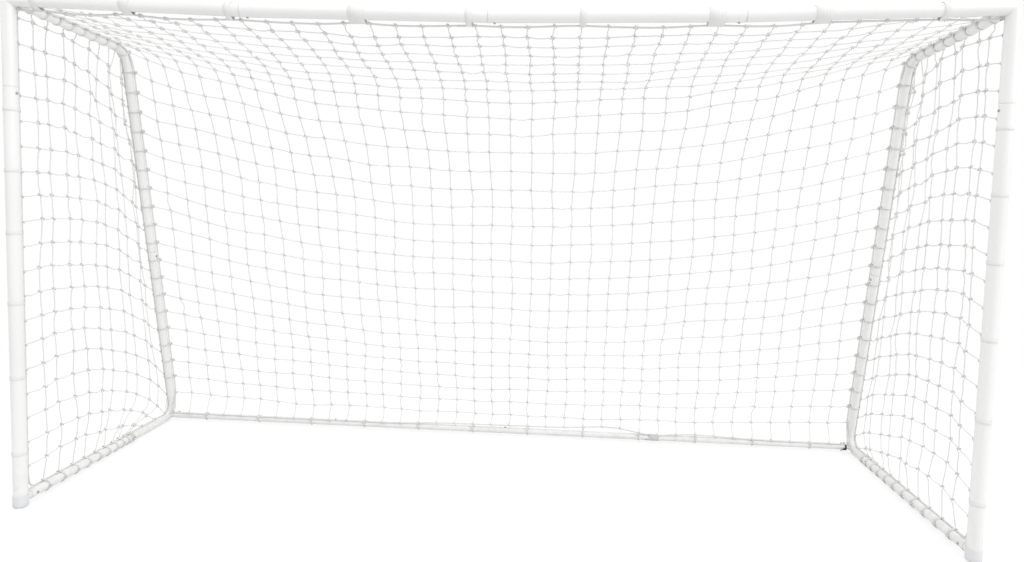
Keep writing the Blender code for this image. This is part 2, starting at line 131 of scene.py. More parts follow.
# The side panel's front rope, behind its post, and the top rope, behind and below the crossbar
post_rope_x = -0.004
post_rope_y = 0.0344
top_rope_y = 0.014

# Edges sharper than these, in degrees, stay sharp when cords and tubes are shaded
cord_edge = 76
tube_edge = 32

hands = (("left", -1.0), ("right", 1.0))
rng = np.random.default_rng(12)


def unit(vectors):
    """Each vector at length one."""
    return vectors / np.maximum(np.linalg.norm(vectors, axis=-1, keepdims=True), 1e-12)


def eased(share):
    """A share held between 0 and 1 that starts and ends gently."""
    share = np.clip(share, 0, 1)
    return share * share * (3 - 2 * share)


def curve_through(at, marks):
    """A smooth curve through marks of (place, value, ...), read at the places asked for."""
    marks = np.array(marks, float)
    place, values = marks[:, 0], marks[:, 1:]
    slope = np.gradient(values, place, axis=0)
    at = np.asarray(at, float)
    span = np.clip(np.searchsorted(place, at, side="right") - 1, 0, len(place) - 2)
    width = place[span + 1] - place[span]
    t = ((at - place[span]) / width)[:, None]
    width = width[:, None]
    return ((2 * t**3 - 3 * t**2 + 1) * values[span] + (t**3 - 2 * t**2 + t) * width * slope[span]
            + (3 * t**2 - 2 * t**3) * values[span + 1] + (t**3 - t**2) * width * slope[span + 1])


def rounded(corners, radii, steps):
    """A polyline whose inner corners are arcs."""
    corners = [np.array(c, float) for c in corners]
    line = [corners[0]]
    for before, corner, after, radius in zip(corners, corners[1:], corners[2:], radii):
        inward, outward = unit(before - corner), unit(after - corner)
        half = math.acos(inward @ outward) / 2
        middle = corner + unit(inward + outward) * radius / math.sin(half)
        first = corner + inward * radius / math.tan(half) - middle
        last = corner + outward * radius / math.tan(half) - middle
        turn = math.pi - 2 * half
        for step in range(steps + 1):
            share = step / steps
            line.append(middle + (first * math.sin((1 - share) * turn)
                                  + last * math.sin(share * turn)) / math.sin(turn))
    line.append(corners[-1])
    return np.array(line)


def lengths_along(line):
    """How far along a line each of its points is."""
    return np.concatenate([[0], np.cumsum(np.linalg.norm(np.diff(line, axis=0), axis=1))])


def points_along(line, places):
    """The points of a line at these distances along it."""
    known = lengths_along(line)
    return np.stack([np.interp(places, known, line[:, axis]) for axis in range(line.shape[1])], axis=-1)


def softened(loop, times):
    """A closed line of points with its corners eased."""
    for _ in range(times):
        loop = 0.5 * loop + 0.25 * (np.roll(loop, 1, axis=0) + np.roll(loop, -1, axis=0))
    return loop


def evenly(loop, step):
    """A closed line with a point about every step."""
    closed = np.concatenate([loop, loop[:1]])
    length = lengths_along(closed)[-1]
    return points_along(closed, np.linspace(0, length, int(length / step) + 1)[:-1])


def in_goal(points):
    """From places behind the posts to places in the frame."""
    return points + np.array([0.0, post_y, 0.0])


def bar_height(x):
    """The height of the crossbar's axis."""
    return np.interp(np.abs(x), (0, bar_joint_x, post_x), (bar_z - bar_sag, bar_z - quarter_sag, bar_z))


# The axis of a side frame: distance behind the posts and height, from the corner back and down to the foot
side_line = rounded([(0, bar_z), (stay_run, bar_z - stay_drop), (rear_run, side_radius - rear_corner_dip),
                     (0, foot_spigot_height)], (upper_bend_radius, lower_bend_radius), bend_steps)
side_far = lengths_along(side_line)
upper_bend = side_far[1 + bend_steps // 2]
lower_bend_start = side_far[bend_steps + 2]
lower_bend = side_far[bend_steps + 2 + bend_steps // 2]


def beside_tube(places, outboard, off):
    """Points beside a side tube, at places along its axis: outboard of it, behind the posts, height."""
    places = np.asarray(places, float)
    step = 0.004
    way = unit(points_along(side_line, places + step) - points_along(side_line, places - step))
    outward = np.stack([-way[:, 1], way[:, 0]], axis=1)
    flat = points_along(side_line, places) + outward * np.broadcast_to(off, places.shape)[:, None]
    return np.column_stack([np.broadcast_to(outboard, places.shape), flat])


def on_side(points, side):
    """From (outboard of the post, behind, height) to (across, behind, height) on the left or the right."""
    return (points + np.array([post_x, 0.0, 0.0])) * np.array([side, 1.0, 1.0])


# Cordage: round cords swept along paths, many at a time


def framed(paths):
    """The directions along paths of (cord, point, axis), and two square to each that don't twist."""
    along = unit(np.gradient(paths, axis=1))
    start = along[:, 0]
    least = np.eye(3)[np.argmin(np.abs(start), axis=1)]
    across = unit(np.cross(start, least))
    sides = [across]
    for step in range(1, paths.shape[1]):
        across = across - (across * along[:, step]).sum(-1, keepdims=True) * along[:, step]
        across = unit(across)
        sides.append(across)
    sides = np.stack(sides, axis=1)
    return along, sides, np.cross(along, sides)


class Cordage:
    """Cords and straps that become one piece."""

    def __init__(self):
        self.points, self.corners, self.counts, self.lay = [], [], [], []
        self.used = 0

    def loft(self, points, closed=False):
        """Skins of (cord, ring, side, axis). A closed cord's last ring isn't its first.

        Each corner keeps its lay: how far round the cord it is, as a share, and how far along, in metres.
        """
        cords, rings, sides = points.shape[:3]
        steps = rings if closed else rings - 1
        cord, ring, side = np.meshgrid(np.arange(cords), np.arange(steps), np.arange(sides), indexing="ij")
        after, beyond = (side + 1) % sides, (ring + 1) % rings
        base = self.used + cord * rings * sides
        faces = np.stack([base + ring * sides + side, base + ring * sides + after,
                          base + beyond * sides + after, base + beyond * sides + side], axis=-1)
        middles = points.mean(axis=2)
        gaps = np.linalg.norm(np.diff(middles, axis=1, append=middles[:, :1]), axis=-1)
        far = np.concatenate([np.zeros((cords, 1)), np.cumsum(gaps, axis=1)], axis=1)
        turn = np.stack([side, side + 1, side + 1, side], axis=-1) / sides
        here, there = far[cord, ring], far[cord, ring + 1]
        run = np.stack([here, here, there, there], axis=-1)
        self.points.append(points.reshape(-1, 3))
        self.corners.append(faces.ravel())
        self.counts.append(np.full(faces[..., 0].size, 4))
        self.lay.append(np.stack([turn, run, np.zeros_like(run)], axis=-1).reshape(-1, 3))
        if not closed:
            ends = self.used + np.arange(cords)[:, None] * rings * sides
            rim = np.arange(sides)
            caps = np.concatenate([ends + rim[::-1], ends + (rings - 1) * sides + rim])
            self.corners.append(caps.ravel())
            self.counts.append(np.full(len(caps), sides))
            self.lay.append(np.zeros((caps.size, 3)))
        self.used += points.size // 3

    def sweep(self, paths, radius, sides, closed=False):
        """Round cords along paths of (cord, point, axis)."""
        paths = np.asarray(paths, float)
        if paths.ndim == 2:
            paths = paths[None]
        if closed:
            wrapped = np.concatenate([paths[:, -1:], paths, paths[:, :1]], axis=1)
            along, one, two = (part[:, 1:-1] for part in framed(wrapped))
        else:
            along, one, two = framed(paths)
        angle = np.arange(sides) * 2 * np.pi / sides
        thick = np.broadcast_to(np.asarray(radius, float), paths.shape[:2])[..., None, None]
        self.loft(paths[:, :, None] + thick * (np.cos(angle)[:, None] * one[:, :, None]
                                               + np.sin(angle)[:, None] * two[:, :, None]), closed)

    def piece(self, name, finish):
        """The cords as one object that rides on the frame."""
        points, corners = np.concatenate(self.points), np.concatenate(self.corners)
        counts = np.concatenate(self.counts)
        mesh = bpy.data.meshes.new(name)
        mesh.vertices.add(len(points))
        mesh.vertices.foreach_set("co", points.astype(np.float32).ravel())
        mesh.loops.add(len(corners))
        mesh.loops.foreach_set("vertex_index", corners.astype(np.int32))
        mesh.polygons.add(len(counts))
        starts = np.concatenate([[0], np.cumsum(counts)[:-1]])
        mesh.polygons.foreach_set("loop_start", starts.astype(np.int32))
        mesh.update(calc_edges=True)
        lay = mesh.attributes.new("lay", "FLOAT_VECTOR", "CORNER")
        lay.data.foreach_set("vector", np.concatenate(self.lay).astype(np.float32).ravel())
        mesh.shade_smooth()
        mesh.set_sharp_from_angle(angle=math.radians(cord_edge))
        mesh.materials.append(finish)
        made = bpy.data.objects.new(name, mesh)
        bpy.context.scene.collection.objects.link(made)
        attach(made, "frame")
        return made


def tight_turns(middles, out, up, circles, thickness, turns, advance=0.0, growth=0.0, start=math.pi,
                steps=26):
    """Turns drawn tight round circles of (out, up, radius) in planes square to a tube.

    middles, out and up are (tie, axis). Each turn goes along the tube by advance and outward by growth.
    Gives the path and the outward way at each of its points, both as (tie, point, axis).
    """
    count = int(steps * turns) + 1
    turned = np.linspace(0, turns, count)
    angle = start + 2 * math.pi * turned
    way = np.stack([np.cos(angle), np.sin(angle)], axis=1)
    circles = np.array(circles, float)
    reach = circles[:, 2] + thickness / 2 + growth * turned[:, None]
    widest = np.argmax(way @ circles[:, :2].T + reach, axis=1)
    flat = circles[widest, :2] + way * reach[np.arange(count), widest][:, None]
    along = np.cross(out, up)
    shift = (turned - turns / 2) * advance
    path = (middles[:, None] + flat[None, :, :1] * out[:, None] + flat[None, :, 1:] * up[:, None]
            + shift[None, :, None] * along[:, None])
    return path, way[None, :, :1] * out[:, None] + way[None, :, 1:] * up[:, None]


# Finishes


class Value:
    """A number that varies over a surface. Arithmetic on it adds Math nodes."""

    def __init__(self, socket):
        self.socket = socket

    def math(self, operation, *given):
        node = self.socket.id_data.nodes.new("ShaderNodeMath")
        node.operation = operation
        for place, number in zip(node.inputs, given):
            put(place, number)
        return Value(node.outputs[0])

    def __add__(self, other):
        return self.math("ADD", self, other)

    def __radd__(self, other):
        return self.math("ADD", other, self)

    def __sub__(self, other):
        return self.math("SUBTRACT", self, other)

    def __rsub__(self, other):
        return self.math("SUBTRACT", other, self)

    def __mul__(self, other):
        return self.math("MULTIPLY", self, other)

    def __rmul__(self, other):
        return self.math("MULTIPLY", other, self)

    def sine(self):
        return self.math("SINE", self)

    def size(self):
        return self.math("ABSOLUTE", self)

    def larger(self, other):
        return self.math("MAXIMUM", self, other)

    def to_the(self, power):
        return self.math("POWER", self, power)


def put(place, given):
    """Links a socket to a varying value, or writes a plain number or colour in it."""
    if isinstance(given, Value):
        place.id_data.links.new(given.socket, place)
    else:
        place.default_value = given


def colour(red, green, blue):
    return (red, green, blue, 1.0)


def darker(shade, share):
    return tuple(part * share for part in shade)


class Nodes:
    """The nodes of a material or of the world."""

    def __init__(self, tree):
        self.tree = tree

    def node(self, kind, settings=(), sockets=()):
        """Any node: its type, its settings and then the values or links of its sockets."""
        made = self.tree.nodes.new("ShaderNode" + kind)
        for setting, choice in dict(settings).items():
            setattr(made, setting, choice)
        for socket, given in dict(sockets).items():
            put(made.inputs[socket], given)
        return made

    def shader(self, kind, sockets):
        """What a shader node gives."""
        return Value(self.node(kind, sockets=sockets).outputs[0])

    def seen(self):
        """1 where the camera looks, also by way of a reflection or glass, and 0 for light on the goal."""
        path = self.node("LightPath")
        camera_ray, glossy_ray, glass_ray = (Value(path.outputs[f"Is {kind} Ray"])
                                             for kind in ("Camera", "Glossy", "Transmission"))
        return camera_ray.larger(glossy_ray).larger(glass_ray)


class Finish(Nodes):
    """A material made of nodes round one Principled surface."""

    def __init__(self, name, **constants):
        self.material = bpy.data.materials.new(name)
        self.material.use_nodes = True
        super().__init__(self.material.node_tree)
        self.surface = self.tree.nodes["Principled BSDF"]
        for words, number in constants.items():
            socket = words.replace("_", " ").title().replace("Ior", "IOR")
            self.surface.inputs[socket].default_value = number

    def place(self):
        return Value(self.node("TexCoord").outputs["Object"])

    def noise(self, scale, detail=3.0, roughness=0.5, stretch=None):
        """Noise of so many cells a metre, from 0 to 1."""
        where = self.place()
        if stretch:
            mapping = self.node("Mapping", sockets={"Vector": where, "Scale": stretch})
            where = Value(mapping.outputs["Vector"])
        made = self.node("TexNoise", sockets={"Vector": where, "Scale": scale, "Detail": detail,
                                              "Roughness": roughness})
        return Value(made.outputs["Fac"])

    def band(self, value, low, high, start=0.0, end=1.0):
        """The value read from low to high as start to end, held at both ends."""
        made = self.node("MapRange", {"clamp": True}, {"Value": value, "From Min": low, "From Max": high,
                                                       "To Min": start, "To Max": end})
        return Value(made.outputs["Result"])

    def blend(self, share, one, two):
        """Colour one where share is 0 and colour two where it is 1."""
        made = self.node("Mix", {"data_type": "RGBA"}, {0: share, 6: one, 7: two})
        return Value(made.outputs[2])

    def axis(self, name):
        """One coordinate of the place on the object, in metres."""
        return Value(self.node("SeparateXYZ", sockets={"Vector": self.place()}).outputs[name])

    def lay(self):
        """How far round a cord and how far along it a point is."""
        where = Value(self.node("Attribute", {"attribute_name": "lay"}).outputs["Vector"])
        split = self.node("SeparateXYZ", sockets={"Vector": where})
        return Value(split.outputs["X"]), Value(split.outputs["Y"])

    def bump(self, height, distance):
        """Relief: a height from 0 to 1 stands for that many metres."""
        made = self.node("Bump", sockets={"Height": height, "Distance": distance, "Strength": 1.0})
        put(self.surface.inputs["Normal"], Value(made.outputs["Normal"]))

    def set(self, socket, given):
        put(self.surface.inputs[socket], given)


def white_enamel():
    """Powder-coated white: a faint orange peel, dust that settles low down, and rubbed marks."""
    made = Finish("white_enamel", coat_roughness=0.12)
    cloud = made.noise(2.2, 4.0)
    fine = made.noise(26.0, 5.0, 0.65)
    low = made.band(made.axis("Z"), 0.22, 0.02)
    grime = low * made.band(fine, 0.42, 0.72) * 0.45
    rubs = made.band(made.noise(9.0, 6.0, 0.75, stretch=(1.0, 1.0, 0.25)), 0.63, 0.74)
    base = made.blend(made.band(cloud, 0.35, 0.65), colour(0.835, 0.838, 0.828),
                      colour(0.872, 0.875, 0.866))
    base = made.blend(rubs * 0.22, base, colour(0.70, 0.70, 0.68))
    base = made.blend(grime, base, colour(0.66, 0.64, 0.59))
    made.set("Base Color", base)
    made.set("Roughness", 0.30 + fine * 0.10 + rubs * 0.22 + grime * 0.35)
    made.set("Coat Weight", 0.25 - 0.18 * rubs)
    peel = made.noise(420.0, 2.0)
    made.bump(peel * 0.8 + fine * 0.2, 0.00006)
    return made.material


def weld_finish():
    """Enamel over the ripples of a weld bead, with painted shade in the troughs between them."""
    made = Finish("enamelled_weld", roughness=0.36)
    ripple_pitch = 0.0024
    _, run = made.lay()
    ripple = (run * (math.pi / ripple_pitch)).sine().size()
    fine = made.noise(300.0, 3.0)
    # The troughs between the ripples are painted darker than their crests: painted shade
    made.set("Base Color", made.blend(ripple, colour(0.74, 0.74, 0.73), colour(0.84, 0.84, 0.83)))
    made.bump(ripple * 0.8 + fine * 0.2, 0.0005)
    return made.material


def cap_plastic():
    """Moulded foot cap: pale, slightly chalky, scuffed at the ground."""
    made = Finish("foot_cap_plastic")
    fine = made.noise(60.0, 5.0, 0.7)
    scuff = made.band(made.axis("Z"), 0.018, 0.0) * made.band(fine, 0.35, 0.65)
    base = made.blend(made.noise(14.0), colour(0.74, 0.745, 0.76), colour(0.80, 0.805, 0.82))
    made.set("Base Color", made.blend(scuff * 0.6, base, colour(0.50, 0.49, 0.46)))
    made.set("Roughness", 0.38 + fine * 0.2 + scuff * 0.2)
    made.bump(made.noise(900.0, 2.0) + scuff * fine, 0.00008)
    return made.material


def bright_steel(name, shade, stretch):
    """Turned or rolled steel with fine lines along one way."""
    made = Finish(name, metallic=1.0)
    lines = made.noise(900.0, 3.0, 0.6, stretch=stretch)
    stain = made.noise(45.0, 4.0)
    stained = colour(*darker(shade, 0.72))
    made.set("Base Color", made.blend(made.band(stain, 0.4, 0.75) * 0.6, colour(*shade), stained))
    made.set("Roughness", 0.24 + lines * 0.16 + stain * 0.10)
    made.bump(lines, 0.00002)
    return made.material


def twisted_cord(name, light, hollow_shade, pitch, depth):
    """Cord laid up from three strands: the lay goes round the cord once in a pitch. The grooves between the
    strands are painted darker, as painted shade.
    """
    made = Finish(name, specular_ior_level=0.3)
    strands = 3
    turn, run = made.lay()
    groove = ((turn + run * (1 / pitch)) * (math.pi * strands)).sine().size()
    yarn = ((turn * 3.0 - run * (6 / pitch)) * (math.pi * strands)).sine().size()
    fibre = made.noise(700.0, 3.0, 0.6)
    soil = made.band(made.noise(3.1, 4.0, 0.6), 0.46, 0.74)
    # The grooves between the strands take the darker colour: painted shade in the grooves
    base = made.blend(made.band(groove, 0.05, 0.55), colour(*hollow_shade), colour(*light))
    base = made.blend(soil * 0.35, base, colour(*darker(light, 0.74)))
    made.set("Base Color", base)
    made.set("Roughness", 0.62 + fibre * 0.25)
    made.bump(groove.to_the(0.6) * 0.75 + yarn * 0.12 + fibre * 0.13, depth)
    return made.material


def woven_tape(name, light, hollow_shade):
    """Woven strap: ribs across it, finer yarns along it, and a little fluff. The hollows between ribs and
    yarns are painted darker, as painted shade.
    """
    made = Finish(name, specular_ior_level=0.3)
    rib_pitch = 0.0021
    yarns_round = 44
    turn, run = made.lay()
    ribs = (run * (math.pi / rib_pitch)).sine().size()
    yarns = (turn * (math.pi * yarns_round)).sine().size()
    fluff = made.noise(520.0, 4.0, 0.7)
    # The hollows between the ribs and yarns take the darker colour: painted shade
    base = made.blend(ribs * 0.5 + yarns * 0.5, colour(*hollow_shade), colour(*light))
    worn = colour(*darker(light, 0.85))
    made.set("Base Color", made.blend(made.band(fluff, 0.5, 0.8) * 0.35, base, worn))
    made.set("Roughness", 0.7 + fluff * 0.2)
    made.bump(ribs * 0.5 + yarns * 0.25 + fluff * 0.25, 0.0004)
    return made.material


enamel = white_enamel()
weld_enamel = weld_finish()
cap_finish = cap_plastic()
button_finish = bright_steel("button_steel", (0.44, 0.44, 0.45), (1.0, 1.0, 0.1))
spring_finish = bright_steel("spring_steel", (0.36, 0.37, 0.40), (0.1, 1.0, 1.0))
# The second colour of each cord and tape is painted shade for the hollows of its lay or weave
twine_finish = twisted_cord("net_twine", (0.865, 0.865, 0.855), (0.72, 0.72, 0.705), 0.009, 0.0006)
rope_finish = twisted_cord("border_rope", (0.85, 0.85, 0.84), (0.66, 0.66, 0.645), 0.016, 0.0011)
dark_rope_finish = twisted_cord("dark_tie_cord", (0.045, 0.045, 0.05), (0.012, 0.012, 0.014), 0.012, 0.0008)
tape_finish = woven_tape("white_tape", (0.86, 0.862, 0.852), (0.76, 0.76, 0.75))
grey_tape_finish = woven_tape("grey_tape", (0.70, 0.705, 0.715), (0.57, 0.575, 0.585))

node_finishes = {"foot": cap_finish, "button": button_finish, "spring": spring_finish, "net": twine_finish}
for name, node in frame["nodes"].items():
    node.data.materials.clear()
    node.data.materials.append(node_finishes.get(name.split("_")[0], enamel))

# Hard pieces, drawn again with round tubes shaded as round. Their slots go by the first word of their names


def smooth_copy(name, new_name):
    """A node's own shape, with its facets shaded as one surface up to its real edges."""
    mesh = frame["nodes"][name].data.copy()
    joined = bmesh.new()
    joined.from_mesh(mesh)
    bmesh.ops.remove_doubles(joined, verts=joined.verts, dist=0.00001)
    joined.to_mesh(mesh)
    joined.free()
    if "custom_normal" in mesh.attributes:
        mesh.attributes.remove(mesh.attributes["custom_normal"])
    mesh.shade_smooth()
    mesh.set_sharp_from_angle(angle=math.radians(tube_edge))
    made = bpy.data.objects.new(new_name, mesh)
    bpy.context.scene.collection.objects.link(made)
    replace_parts(made, name)
    return made


for name in list(frame["nodes"]):
    if not name.startswith(("net", "spring")):
        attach(smooth_copy(name, "smooth_" + name), name if name.startswith("button") else "frame")

# The main panel of net

# How its middle hangs: row, distance behind the posts, height. Across the goal, a spread of 2 is a parabola
hang = [(0, 0.014, 1.922), (1, 0.071, 1.901), (3, 0.198, 1.860), (5, 0.338, 1.819), (6, 0.405, 1.794),
        (7, 0.450, 1.765), (8, 0.477, 1.719), (9, 0.497, 1.653), (11, 0.627, 1.501), (13, 0.748, 1.324),
        (14, 0.791, 1.237), (16, 0.819, 1.057), (19, 0.871, 0.797), (23, 0.957, 0.464), (26, 0.997, 0.258),
        (29, 1.022, 0.034)]
hang_spread = 2.2
main_edge_x = post_x + main_rope_outboard

# Where the first row is on the stay, and how far past the start of the lower bend the last row is
first_row_place = 0.030
last_row_past_bend = 0.045

# How far the top rope hangs clear below the crossbar, from the left end to the right: across, gap
rope_gaps = [(-1.85, 0.003), (-1.80, 0.012), (-1.74, 0.004), (-1.65, 0.013), (-1.50, 0.012), (-1.38, 0.004),
             (-1.28, 0.012), (-1.10, 0.011), (-0.98, 0.005), (-0.80, 0.010), (-0.60, 0.011), (-0.49, 0.004),
             (-0.38, 0.011), (-0.20, 0.010), (-0.07, 0.005), (0.10, 0.010), (0.35, 0.005), (0.48, 0.010),
             (0.64, 0.012), (0.83, 0.004), (1.00, 0.010), (1.10, 0.009), (1.20, 0.001), (1.55, 0.001),
             (1.68, 0.005), (1.77, 0.009), (1.85, 0.002)]
least_rope_gap = 0.001

# How far the bottom rope stands above its place on the rear bar, where it is pulled up: across, lift
rope_lifts = [(-1.86, 0.0), (-0.60, 0.0), (-0.33, 0.012), (0.05, 0.016), (0.34, 0.020), (0.60, 0.032),
              (0.82, 0.0), (0.98, 0.012), (1.30, 0.004), (1.54, 0.0), (1.86, 0.0)]
bottom_rope_y = rear_bar_y - 0.012
bottom_rope_z = rear_bar_z + 0.0155


def edge_places(rows):
    """Where rows of the main panel meet the side tubes, along the tubes' axis."""
    last_row_place = lower_bend_start + last_row_past_bend
    return np.interp(rows, (0, stay_rows, main_rows), (first_row_place, upper_bend, last_row_place))


def rope_gap(x):
    """The gap between the crossbar and the top rope."""
    return np.maximum(curve_through(x, rope_gaps)[:, 0], least_rope_gap)


def main_surface(rows, x):
    """The hanging main panel at rows, part rows too, and places across, as (row, place, axis)."""
    edge = beside_tube(edge_places(rows), 0.0, main_rope_off)[:, 1:]
    middle = curve_through(rows, hang)
    weight = 1 - np.abs(x / main_edge_x) ** hang_spread
    points = np.zeros((len(rows), len(x), 3))
    points[..., 0] = x
    points[..., 1:] = edge[:, None] + (middle - edge)[:, None] * weight[:, None]
    rope_z = bar_height(x) - front_radius - rope_gap(x) - border / 2
    top = (1 - eased(np.asarray(rows)))[:, None]
    points[..., 1] += (top_rope_y - points[..., 1]) * top
    points[..., 2] += (rope_z - points[..., 2]) * top
    bottom = eased(np.asarray(rows) - (main_rows - 1))[:, None]
    lift = np.maximum(curve_through(x, rope_lifts)[:, 0], 0)
    points[..., 1] += (bottom_rope_y - points[..., 1]) * bottom
    points[..., 2] += (bottom_rope_z + lift - points[..., 2]) * bottom
    return points


def loosened(knots):
    """The knots, each a little out of place, with their neighbours partly following.

    Averaging makes the shifts smaller, and regain makes up for most of that.
    """
    regain = 2.2
    shift = rng.normal(size=knots.shape) * looseness
    for axis in (0, 1):
        shift = 0.5 * shift + 0.25 * (np.roll(shift, 1, axis=axis) + np.roll(shift, -1, axis=axis))
    fade = np.ones(knots.shape[:2])
    fade[0] = fade[-1] = 0
    fade[:, 0] = fade[:, -1] = 0
    return knots + shift * fade[..., None] * regain


# The side panels of net

# Where each row meets the leg and the ground bar: row, distance past the middle of the upper bend
row_ends = {"left": [(0, 0.06), (4, 0.47), (9, 1.01), (13, 1.46), (15, 1.72), (17, 1.97), (18, 2.08),
                     (20, 2.29)],
            "right": [(0, 0.04), (4, 0.42), (9, 0.94), (13, 1.36), (16, 1.69), (18, 1.90), (20, 2.11)]}

# The height of the first row below the stay at the post, and how far each panel rises behind the post
first_row_height = {"left": 1.950, "right": 1.925}
panel_rise = {"left": 0.004, "right": 0.024}
last_row_height = 0.055
pleat_depth = 0.020

# The side rope crosses from outside the leg to above the ground bar round the lower bend
crossing_before = 0.03
crossing_length = 0.12


def side_rope(places):
    """The side panel's rope beside the stay, the leg and the ground bar."""
    low = eased((np.asarray(places) - lower_bend + crossing_before) / crossing_length)
    return beside_tube(places, side_rope_outboard + (ground_rope_outboard - side_rope_outboard) * low,
                       side_rope_off + (ground_rope_off - side_rope_off) * low)


def side_knots(hand):
    """The knots of a side panel as (row, column, axis), from the post back and from the stay down.

    Where the panel is narrower than at the ground, its meshes crowd towards the leg in small pleats.
    """
    rows = np.arange(side_rows + 1)
    back = np.linspace(0, 1, side_columns + 1)
    ends = side_rope(upper_bend + curve_through(rows, row_ends[hand])[:, 0])
    starts = np.zeros((side_rows + 1, 3))
    starts[:, 0] = post_rope_x
    starts[:, 1] = post_rope_y
    starts[:, 2] = np.linspace(first_row_height[hand] + mesh_size, last_row_height, side_rows + 1)
    depth = (ends - starts)[:, 1:2]
    crowding = np.clip(rear_run / depth, 1.0, 1.6)
    along = 1 - (1 - back) ** crowding
    knots = np.zeros((side_rows + 1, side_columns + 1, 3))
    knots[..., 0] = starts[:, :1] + (ends - starts)[:, :1] * eased(along * 3.5)
    knots[..., 1] = starts[:, 1:2] + depth * along
    fall = (starts - ends)[:, 2:]
    # along * (1 - along) ** 2 is at most 4 / 27
    rise = panel_rise[hand] * (27 / 4) * along * (1 - along) ** 2
    knots[..., 2] = starts[:, 2:] - fall * along**3 + rise
    pitch = np.gradient(knots[..., 1], axis=1)
    spare = np.sqrt(np.clip(1 - pitch / mesh_size, 0, 1))
    to_and_fro = np.where(np.arange(side_columns + 1) % 2 == 0, 1.0, -1.0)
    pleat = to_and_fro * (0.7 + 0.3 * rng.normal(size=spare.shape))
    knots[:, 1:-1, 0] += (pleat_depth * spare * pleat)[:, 1:-1]
    stay_places = post_rope_y + (upper_bend + row_ends[hand][0][1] - post_rope_y) * along[0]
    knots[0] = side_rope(stay_places)
    knots[-1] = side_rope(side_far[-1] - knots[-1, :, 1])
    return knots


def knot_template():
    """A netting knot in twine diameters: a bight and the twine that goes through and round it."""
    bight = [(-knot_arm, knot_arm, 0.0), (-1.3, 1.3, 0.1), (-0.85, 0.2, 0.3), (0.0, -0.65, 0.0),
             (0.85, 0.2, -0.2), (1.3, 1.3, -0.1), (knot_arm, knot_arm, 0.0)]
    wrap = [(-knot_arm, -knot_arm, 0.0), (-1.2, -1.4, -0.5), (-0.3, -0.4, -0.95), (0.25, 0.75, -0.2),
            (0.6, 0.9, 0.85), (1.55, 0.5, 0.7), (1.75, 0.2, -0.3), (0.5, 0.1, -1.15), (-1.0, 0.3, -1.1),
            (-1.85, 0.35, 0.0), (-1.1, -0.1, 1.0), (0.2, -0.5, 1.1), (1.2, -1.35, 0.5),
            (knot_arm, -knot_arm, 0.0)]
    shapes = []
    for line, rings in ((bight, 8), (wrap, 20)):
        marks = [(place, *point) for place, point in enumerate(line)]
        shapes.append(curve_through(np.linspace(0, len(line) - 1, rings), marks) * twine * knot_size)
    return shapes


bight_shape, wrap_shape = knot_template()
knot_reach = knot_arm * twine * knot_size * math.sqrt(2)


def arm_lengths(gap):
    """How far from a knot its arms end and the strands begin, for neighbours this far apart."""
    reach_share = 0.86
    gap_share = 0.3
    return np.minimum(knot_reach * reach_share, gap * gap_share)


def arm_ends(knots, axis, step):
    """Where each knot's arm towards its neighbour ends. It is tucked in where there is no neighbour."""
    overlap = twine * 0.5
    toward = np.roll(knots, -step, axis=axis) - knots
    gap = np.linalg.norm(toward, axis=-1, keepdims=True)
    ends = knots + toward / gap * (arm_lengths(gap) + overlap)
    tucked = knots + unit(knots - np.roll(knots, step, axis=axis)) * twine * 0.6
    edge = [slice(None)] * 3
    edge[axis] = -1 if step > 0 else 0
    ends[tuple(edge)] = tucked[tuple(edge)]
    return ends


def led_to(knots, first, last):
    """Paths of knots whose ends are moved to these places, with the points next to them following."""
    follow = (1 - eased(np.arange(knots.shape[-2]) / 3))[:, None]
    return (knots + follow * (first - knots[..., 0, :])[..., None, :]
            + follow[::-1] * (last - knots[..., -1, :])[..., None, :])


def net_piece(name, knots, replaced, first_row=0, last_row=None):
    """Rows of a panel of net: strands between neighbours and a knot at each crossing.

    Limpness is how far a strand bows, as a share of what a limp thread with its slack would.
    """
    cords = Cordage()
    most_slack = 0.02
    limpness = 0.16
    least_bow = 0.0006
    strand_points = 6
    last_row = len(knots) - 1 if last_row is None else last_row
    rows = slice(first_row + 1 if first_row else 0, last_row + 1)
    down = unit(np.gradient(knots, axis=0))
    across = unit(np.gradient(knots, axis=1))
    out = unit(np.cross(across, down))
    for axis in (0, 1):
        start = knots[first_row:last_row] if axis == 0 else knots[rows, :-1]
        end = knots[first_row + 1:last_row + 1] if axis == 0 else knots[rows, 1:]
        start, end = start.reshape(-1, 3), end.reshape(-1, 3)
        gap = np.linalg.norm(end - start, axis=1, keepdims=True)
        way = (end - start) / gap
        slack = np.clip(mesh_size - gap, 0.0, most_slack)
        bow = np.sqrt(3 / 8 * gap * slack) * limpness + least_bow
        lean = rng.normal(size=way.shape) * 0.6 + np.array([0.0, 0.0, -0.6])
        lean = lean - (lean * way).sum(-1, keepdims=True) * way
        share = np.linspace(0, 1, strand_points)[None, :, None]
        inset = arm_lengths(gap)
        line = (start + way * inset)[:, None] * (1 - share) + (end - way * inset)[:, None] * share
        line = line + (lean * bow)[:, None] * 4 * share * (1 - share)
        cords.sweep(line, twine / 2, sides=5)
    rise = unit(across - down)
    right = unit(across + down)
    odd = np.add.outer(np.arange(len(knots)), np.arange(knots.shape[1])) % 2
    flip = np.where(odd[..., None] == 0, 1.0, -1.0)
    for shape, first_arm, last_arm in ((bight_shape, (0, -1), (1, 1)), (wrap_shape, (1, -1), (0, 1))):
        here = (knots[..., None, :] + shape[:, 0, None] * right[..., None, :]
                + shape[:, 1, None] * rise[..., None, :] + shape[:, 2, None] * (out * flip)[..., None, :])
        here = led_to(here, arm_ends(knots, *first_arm), arm_ends(knots, *last_arm))
        cords.sweep(here[rows].reshape(-1, len(shape), 3), twine / 2, sides=5)
    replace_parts(cords.piece(name, twine_finish), replaced)


